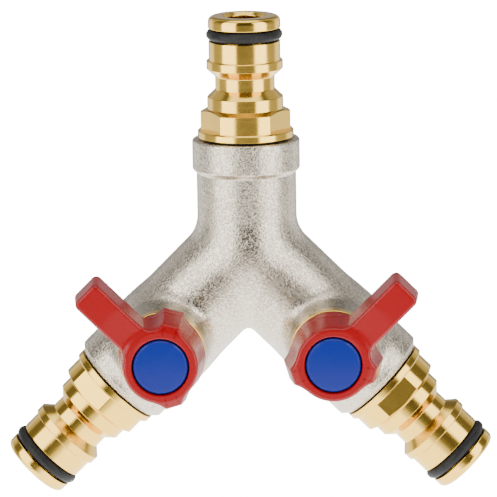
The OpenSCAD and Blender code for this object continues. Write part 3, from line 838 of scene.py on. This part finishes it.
# ---------------------------------------------------------------------------
# Glands, handles and caps
# ---------------------------------------------------------------------------
def build_gland(name, side):
    corners = [(GLAND_BORE_R, GLAND_LOW, 0.03), (GLAND_R, GLAND_LOW, 0.03), (GLAND_R, BOSS_TOP, 0.03),
               (GLAND_RIM_R, BOSS_TOP, 0.12), (GLAND_RIM_R, GLAND_TOP, 0.3), (GLAND_NECK_R, GLAND_TOP, 0.0),
               (GLAND_NECK_R, GLAND_HEX_TOP - 0.4, 0.0), (5.9, GLAND_HEX_TOP, 0.05),
               (GLAND_BORE_R, GLAND_HEX_TOP, 0.05)]
    profile = soft_profile(corners, steps=4)
    first = math.radians(30)
    angles = flat_angles(first, 6, math.radians(29.5), 6, 2)
    flats = (GLAND_TOP + 0.0001, GLAND_HEX_TOP - 0.01, GLAND_HEX / 2, first, 6)
    points, faces, lathe = turned(profile, angles, flats)
    return make_piece(name, on_valve(points, side), faces, BRASS, sharp=38, lathe=lathe)


def lever_box(x, y, grow):
    """Distance from the lever's outline, a box with rounded corners."""
    half = LEVER_HALF + grow
    reach = LEVER_REACH + grow
    middle = reach / 2
    dx = np.abs(x - middle) - (middle - LEVER_ROUND)
    dy = np.abs(y) - (half - LEVER_ROUND)
    outside = np.sqrt(np.maximum(dx, 0) ** 2 + np.maximum(dy, 0) ** 2)
    return outside + np.minimum(np.maximum(dx, dy), 0) - LEVER_ROUND


def lug_value(x, y, angle, grow):
    """Distance from a finger lug's outline, which narrows to its tip."""
    c, s = math.cos(angle), math.sin(angle)
    u, v = x * c + y * s, np.abs(-x * s + y * c)
    tip = u - (LUG_REACH + grow)
    slant = tip * 0.62 + (v - 1.75 - 0.3 * grow) * 0.785
    return np.maximum(np.maximum(tip, slant), np.maximum(-u, v - 3.5 - grow * 0.4))


def handle_value(x, y, hub_grow, lever_grow, with_lever):
    value = np.sqrt(x * x + y * y) - (HUB_R + hub_grow)
    for degrees in LUG_ANGLES:
        value = soft_min(value, lug_value(x, y, math.radians(degrees), hub_grow), 0.7)
    if with_lever:
        value = soft_min(value, lever_box(x, y, lever_grow), 1.7)
    return value


def handle_radius(angles, hub_grow, lever_grow, with_lever=True):
    """How far the handle's outline lies from its axis in each direction."""
    low = np.full(len(angles), 4.0)
    high = np.full(len(angles), 30.0)
    c, s = np.cos(angles), np.sin(angles)
    for _ in range(44):
        r = (low + high) / 2
        out = handle_value(r * c, r * s, hub_grow, lever_grow, with_lever) > 0
        high = np.where(out, r, high)
        low = np.where(out, low, r)
    return (low + high) / 2


def handle_outline(count):
    """Even points round the handle's front outline, and their outward normals."""
    fine = np.linspace(0, 2 * math.pi, 14401)[:-1]
    r = handle_radius(fine, 0, 0)
    p = np.stack([r * np.cos(fine), r * np.sin(fine)], 1)
    step = np.linalg.norm(np.roll(p, -1, 0) - p, axis=1)
    run = np.concatenate([[0], np.cumsum(step)])
    want = np.linspace(0, run[-1], count, endpoint=False)
    wrapped = np.vstack([p, p[:1]])
    even = np.stack([np.interp(want, run, wrapped[:, k]) for k in (0, 1)], 1)
    small = 1e-3
    gx = (handle_value(even[:, 0] + small, even[:, 1], 0, 0, True)
          - handle_value(even[:, 0] - small, even[:, 1], 0, 0, True))
    gy = (handle_value(even[:, 0], even[:, 1] + small, 0, 0, True)
          - handle_value(even[:, 0], even[:, 1] - small, 0, 0, True))
    normal = np.stack([gx, gy], 1)
    normal /= np.linalg.norm(normal, axis=1)[:, None]
    return even, normal


def face_height(x, y):
    """Height of the handle's front face: the lever's root dips behind the hub, then rises to its tip."""
    dip_start, dip_run, dip_depth = 7.7, 1.9, 0.42
    rise_start, rise_run, rise_height = 9.0, 6.9, 0.42
    rho = np.sqrt(x * x + y * y)
    dip = np.clip((rho - dip_start) / dip_run, 0, 1)
    dip = dip * dip * (3 - 2 * dip) * dip_depth
    rise = np.clip((rho - rise_start) / rise_run, 0, 1) * rise_height
    past_end = rho - (rise_start + rise_run)
    corner = 0.5 * (past_end + np.sqrt(past_end ** 2 + 0.02)) / rise_run * rise_height
    level = (rho - rise_start) / rise_run * rise_height - corner
    rise = np.where(rho > dip_start + dip_run, level, rise)
    return HUB_FRONT - dip + np.maximum(rise, 0)


def drafted_outline(angle, depth, with_lever):
    """The outline at a depth behind the hub's front, where the mould's draft has widened it."""
    hub_grow = HUB_GROWTH * depth / (HUB_FRONT - HUB_BASE)
    lever_grow = LEVER_DRAFT * np.clip(depth / (HUB_FRONT - LEVER_BACK), 0, 1)
    r = handle_radius(angle, hub_grow, lever_grow, with_lever)
    return np.stack([r * np.cos(angle), r * np.sin(angle)], 1)


def build_handle(name, side):
    """The handle's skin in rows: front face, rounded edge, sides, back, hub, hollow and cap pocket."""
    count = 640
    outline, normal = handle_outline(count)
    angle = np.arctan2(outline[:, 1], outline[:, 0])
    rows = []

    def add(xy, z):
        rows.append(np.column_stack([xy, np.broadcast_to(z, len(xy))]))

    soft = 0.75
    pocket = POCKET_R + 0.3
    inset = outline - normal * soft
    ring = np.stack([np.cos(angle), np.sin(angle)], 1)
    for k in range(31):
        t = k / 30
        xy = ring * pocket * (1 - t) + inset * t
        add(xy, face_height(xy[:, 0], xy[:, 1]))
    edge_z = face_height(inset[:, 0], inset[:, 1])
    for k in range(1, 9):
        a = math.radians(86) * k / 8
        xy = outline - normal * soft * (1 - math.sin(a))
        add(xy, edge_z - soft * (1 - math.cos(a)))
    side_top = edge_z - soft
    levels = 12
    back_soft = 0.5
    for k in range(1, levels + 1):
        t = k / levels
        z = side_top + (LEVER_BACK + back_soft - side_top) * t
        add(drafted_outline(angle, HUB_FRONT - z, True), z)
    for k in range(1, 5):
        a = math.pi / 2 * k / 4
        z = LEVER_BACK + back_soft * (1 - math.sin(a))
        full = drafted_outline(angle, np.full(count, HUB_FRONT - LEVER_BACK), True)
        bare = drafted_outline(angle, np.full(count, HUB_FRONT - LEVER_BACK), False)
        out = np.linalg.norm(full, axis=1) - np.linalg.norm(bare, axis=1)
        pull = np.clip(out / 2.0, 0, 1) * back_soft * (1 - math.cos(a))
        add(full - normal * pull[:, None], z)
    full = rows[-1][:, :2]
    bare = drafted_outline(angle, np.full(count, HUB_FRONT - LEVER_BACK), False)
    for k in range(1, 9):
        t = k / 8
        add(full * (1 - t) + bare * t, LEVER_BACK - 0.001 * k)
    for z in (LEVER_BACK - 0.6, LEVER_BACK - 1.4, HUB_BASE + 0.45, HUB_BASE + 0.15):
        add(drafted_outline(angle, np.full(count, HUB_FRONT - z), False), z)
    base = drafted_outline(angle, np.full(count, HUB_FRONT - HUB_BASE), False)
    add(base - ring * 0.12, HUB_BASE + 0.02)
    add(base - ring * 0.35, HUB_BASE)
    for r, z in ((HUB_HOLLOW_R + 0.1, HUB_BASE), (HUB_HOLLOW_R, HUB_BASE + 0.1),
                 (HUB_HOLLOW_R, HUB_HOLLOW_TOP), (DRIVE_R + 0.4, HUB_HOLLOW_TOP),
                 (DRIVE_R, HUB_HOLLOW_TOP + 0.2), (DRIVE_R, CAP_FLOOR - WEB_LEN),
                 (SCREW_HOLE_R, CAP_FLOOR - WEB_LEN), (SCREW_HOLE_R, CAP_FLOOR), (POCKET_R, CAP_FLOOR),
                 (POCKET_R, HUB_FRONT - 0.32), (POCKET_R + 0.04, HUB_FRONT - 0.15),
                 (POCKET_R + 0.13, HUB_FRONT - 0.04)):
        add(ring * r, z)
    points = np.concatenate(rows)
    faces = outward(points, grid_faces(len(rows), count, wrap_rows=True))
    return make_piece(name, on_valve(points, side), faces, RED, sharp=35)


def build_cap(name, side):
    top = HUB_FRONT + CAP_PROUD
    under = CAP_FLOOR + 1.4
    corners = [(0.0, top, 0), (CAP_R - 0.38, top - 0.28, 0.12), (CAP_R - 0.02, top - 0.62, 0.12),
               (CAP_R, CAP_FLOOR + 2.0, 0.05), (CAP_SKIRT_R, CAP_FLOOR + 1.6, 0.05),
               (CAP_SKIRT_R, CAP_FLOOR, 0.05), (CAP_BORE_R, CAP_FLOOR, 0.05),
               (CAP_BORE_R, under, 0.1), (0.0, under, 0)]
    profile = soft_profile(corners, closed=False, steps=4)
    angles = even_angles(192)
    middle = profile[1:-1]
    points, _, lathe = turned(middle, angles)
    rows = len(middle)
    faces = grid_faces(rows, len(angles))
    top_point, low_point = len(points), len(points) + 1
    points = np.vstack([points, [[0, 0, profile[0][1]], [0, 0, profile[-1][1]]]])
    lathe = np.vstack([lathe, [[0, profile[0][1], 0], [0, profile[-1][1], 0]]])
    n = len(angles)
    for c in range(n):
        d = (c + 1) % n
        faces.append((top_point, d, c))
        faces.append((low_point, (rows - 1) * n + c, (rows - 1) * n + d))
    faces = outward(points, faces)
    return make_piece(name, on_valve(points, side), faces, BLUE, sharp=35, lathe=lathe)


side_pieces = {}
for side_name, side in SIDES:
    side_pieces[side_name] = {
        "gland": build_gland(side_name + "_brass_gland", side),
        "handle": build_handle(side_name + "_red_handle", side),
        "cap": build_cap(side_name + "_blue_cap", side),
    }


# ---------------------------------------------------------------------------
# Which CAD node each piece stands for
# ---------------------------------------------------------------------------
def hand_over(piece, body_name, slot, *nodes):
    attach(piece, body_name)
    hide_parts(*nodes)


hand_over(body, FITTING, "nickel_body", "valve_body")
hand_over(inlet_nipple, FITTING, "brass", "inlet_nipple")
hand_over(left_nipple, FITTING, "brass", "left_outlet_nipple")
hand_over(right_nipple, FITTING, "brass", "right_outlet_nipple")
hand_over(o_rings, FITTING, "rubber", "inlet_nipple_o_ring", "left_nipple_o_ring", "right_nipple_o_ring")
hand_over(gaskets, FITTING, "rubber", "inlet_gasket", "left_outlet_gasket", "right_outlet_gasket")
for side_name, parts in side_pieces.items():
    valve = side_name + "_valve"
    hand_over(parts["gland"], FITTING, "brass", side_name + "_gland")
    hand_over(parts["handle"], valve, "red_plastic", side_name + "_handle")
    hand_over(parts["cap"], valve, "blue_plastic", side_name + "_handle_cap")

INNER = {"ball": CHROME, "inner_seat": PTFE, "outer_seat": PTFE, "stem": BRASS, "stem_o_rings": RUBBER,
         "thrust_washer": PTFE, "handle_screw": STEEL}
for side_name, _ in SIDES:
    for part, material in INNER.items():
        node_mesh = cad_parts[side_name + "_" + part].data
        node_mesh.materials.clear()
        node_mesh.materials.append(material)


# ---------------------------------------------------------------------------
# Studio: a floor and surround that look white, two tall soft panels, and the camera
# ---------------------------------------------------------------------------
SEEN_WHITE = 16.0
PANEL_LIGHT = 5.0
LIGHT_COLOUR = (1.0, 0.99, 0.97, 1)
FLOOR_Z = -330.0


def group_studio():
    """Brightness round the object: dim in front, a tall panel on each side, grey with a brighter
    band on each side behind."""
    group, t, gin, gout = new_group("studio_bands", [("Around", "NodeSocketFloat", 0.0)],
                                    [("Panels", "NodeSocketFloat"), ("Surround", "NodeSocketFloat")])
    around = gin.outputs["Around"]
    away = t.math("ABSOLUTE", around)
    rad = math.radians

    def window(value, low, high, soft):
        rising = t.map(value, rad(low - soft), rad(low + soft))
        falling = t.map(value, rad(high - soft), rad(high + soft), 1.0, 0.0)
        return t.math("MULTIPLY", rising, falling)

    panels = t.math("ADD", window(around, -75, -27, 2.5), window(around, 34, 76, 2.5))
    front_level, behind_more, band_more = 0.17, 0.36, 1.1
    surround = t.math("ADD", front_level, t.math("MULTIPLY", t.map(away, rad(45), rad(85)), behind_more))
    surround = t.math("ADD", surround, t.math("MULTIPLY", window(away, 116, 150, 6), band_more))
    t.tree.links.new(panels, gout.inputs["Panels"])
    t.tree.links.new(surround, gout.inputs["Surround"])
    return group


STUDIO = group_studio()


def build_world():
    """The surround: white to the camera, and the studio's bands to everything else."""
    world = bpy.data.worlds.new("studio")
    bpy.context.scene.world = world
    world.use_nodes = True
    world.node_tree.nodes.clear()
    t = Tree(world.node_tree)
    coords = t.node("ShaderNodeTexCoord").outputs["Generated"]
    parts = t.node("ShaderNodeSeparateXYZ", Vector=coords)
    around = t.math("ARCTAN2", parts.outputs["X"], t.math("MULTIPLY", parts.outputs["Y"], -1.0))
    rise = t.math("ARCSINE", parts.outputs["Z"])
    bands = use_group(t, STUDIO, Around=around)
    rad = math.radians
    tall = t.map(rise, rad(44), rad(56), 1.0, 0.0)
    panels = t.math("MULTIPLY", bands.outputs["Panels"], tall)
    surround = t.math("MULTIPLY", bands.outputs["Surround"], t.map(rise, rad(8), rad(32), 1.0, 0.4))
    top = t.math("MULTIPLY", t.map(rise, rad(58), rad(68)), 2.6)
    level = t.math("ADD", surround, t.math("MULTIPLY", panels, PANEL_LIGHT))
    level = t.math("ADD", level, top)
    seen = t.node("ShaderNodeLightPath").outputs["Is Camera Ray"]
    strength = t.math("ADD", t.math("MULTIPLY", level, t.math("SUBTRACT", 1.0, seen)),
                      t.math("MULTIPLY", seen, SEEN_WHITE))
    light = t.node("ShaderNodeBackground", Color=LIGHT_COLOUR, Strength=strength)
    out = t.node("ShaderNodeOutputWorld")
    t.tree.links.new(light.outputs[0], out.inputs["Surface"])


def build_floor():
    """A floor that is white to the camera. To everything else its own colour is dark, it glows
    under the object, and further out it repeats the studio's bands."""
    material, t, shader, coords = new_material("floor_pale")
    mottle = t.noise(coords, 3.0, 3.0, 0.5)
    colour = t.mix_colour(mottle, (0.80, 0.80, 0.79, 1), (0.84, 0.84, 0.83, 1))
    seen = t.node("ShaderNodeLightPath").outputs["Is Camera Ray"]
    t.put(shader, "Base Color", t.mix_colour(seen, (0.05, 0.05, 0.05, 1), colour))
    t.put(shader, "Roughness", t.math("ADD", t.math("MULTIPLY", mottle, 0.1), 0.6))
    set_bump(t, shader, mottle, 0.001)
    parts = t.node("ShaderNodeSeparateXYZ", Vector=coords)
    x, y = parts.outputs["X"], parts.outputs["Y"]
    around = t.math("ARCTAN2", x, t.math("MULTIPLY", y, -1.0))
    bands = use_group(t, STUDIO, Around=around)
    distance = t.math("SQRT", t.math("ADD", t.math("MULTIPLY", x, x), t.math("MULTIPLY", y, y)))
    near = t.math("ADD", t.map(distance, 0.45, 0.75, 2.6, 0.0), t.map(distance, 1.12, 1.26, 1.5, 0.0))
    far = t.math("ADD", bands.outputs["Surround"], t.math("MULTIPLY", bands.outputs["Panels"], PANEL_LIGHT))
    glow = t.math("ADD", near, t.math("MULTIPLY", far, t.map(distance, 1.0, 1.25)))
    strength = t.math("ADD", t.math("MULTIPLY", glow, t.math("SUBTRACT", 1.0, seen)),
                      t.math("MULTIPLY", seen, SEEN_WHITE))
    shader.inputs["Emission Color"].default_value = LIGHT_COLOUR
    t.put(shader, "Emission Strength", strength)
    rows, span = 17, 12000.0
    line = np.linspace(-span / 2, span / 2, rows)
    points = [(x, y, FLOOR_Z) for y in line for x in line]
    faces = [(r * rows + c, r * rows + c + 1, (r + 1) * rows + c + 1, (r + 1) * rows + c)
             for r in range(rows - 1) for c in range(rows - 1)]
    floor = make_piece("floor", points, faces, material)


def build_camera():
    """A long lens, a little above the object and a touch to its right."""
    distance, rise, yaw, roll = 1.2, math.radians(11.15), math.radians(0.9), math.radians(-0.9)
    data = bpy.data.cameras.new("camera")
    data.lens = 385.2
    data.sensor_width = 36
    data.clip_start, data.clip_end = 0.05, 50
    camera = bpy.data.objects.new("camera", data)
    bpy.context.scene.collection.objects.link(camera)
    crossing = Vector((0, 0, CROSSING_Z * MM))
    back = Vector((math.sin(yaw) * math.cos(rise), -math.cos(yaw) * math.cos(rise), math.sin(rise)))
    right = Vector((math.cos(yaw), math.sin(yaw), 0))
    up = back.cross(right)
    across = right * math.cos(roll) + up * math.sin(roll)
    above = up * math.cos(roll) - right * math.sin(roll)
    shift = across * 0.0002 + above * 0.00067
    turn = Matrix((across, above, back)).transposed()
    camera.matrix_world = Matrix.Translation(crossing + back * distance + shift) @ turn.to_4x4()
    bpy.context.scene.camera = camera


build_world()
build_floor()
build_camera()
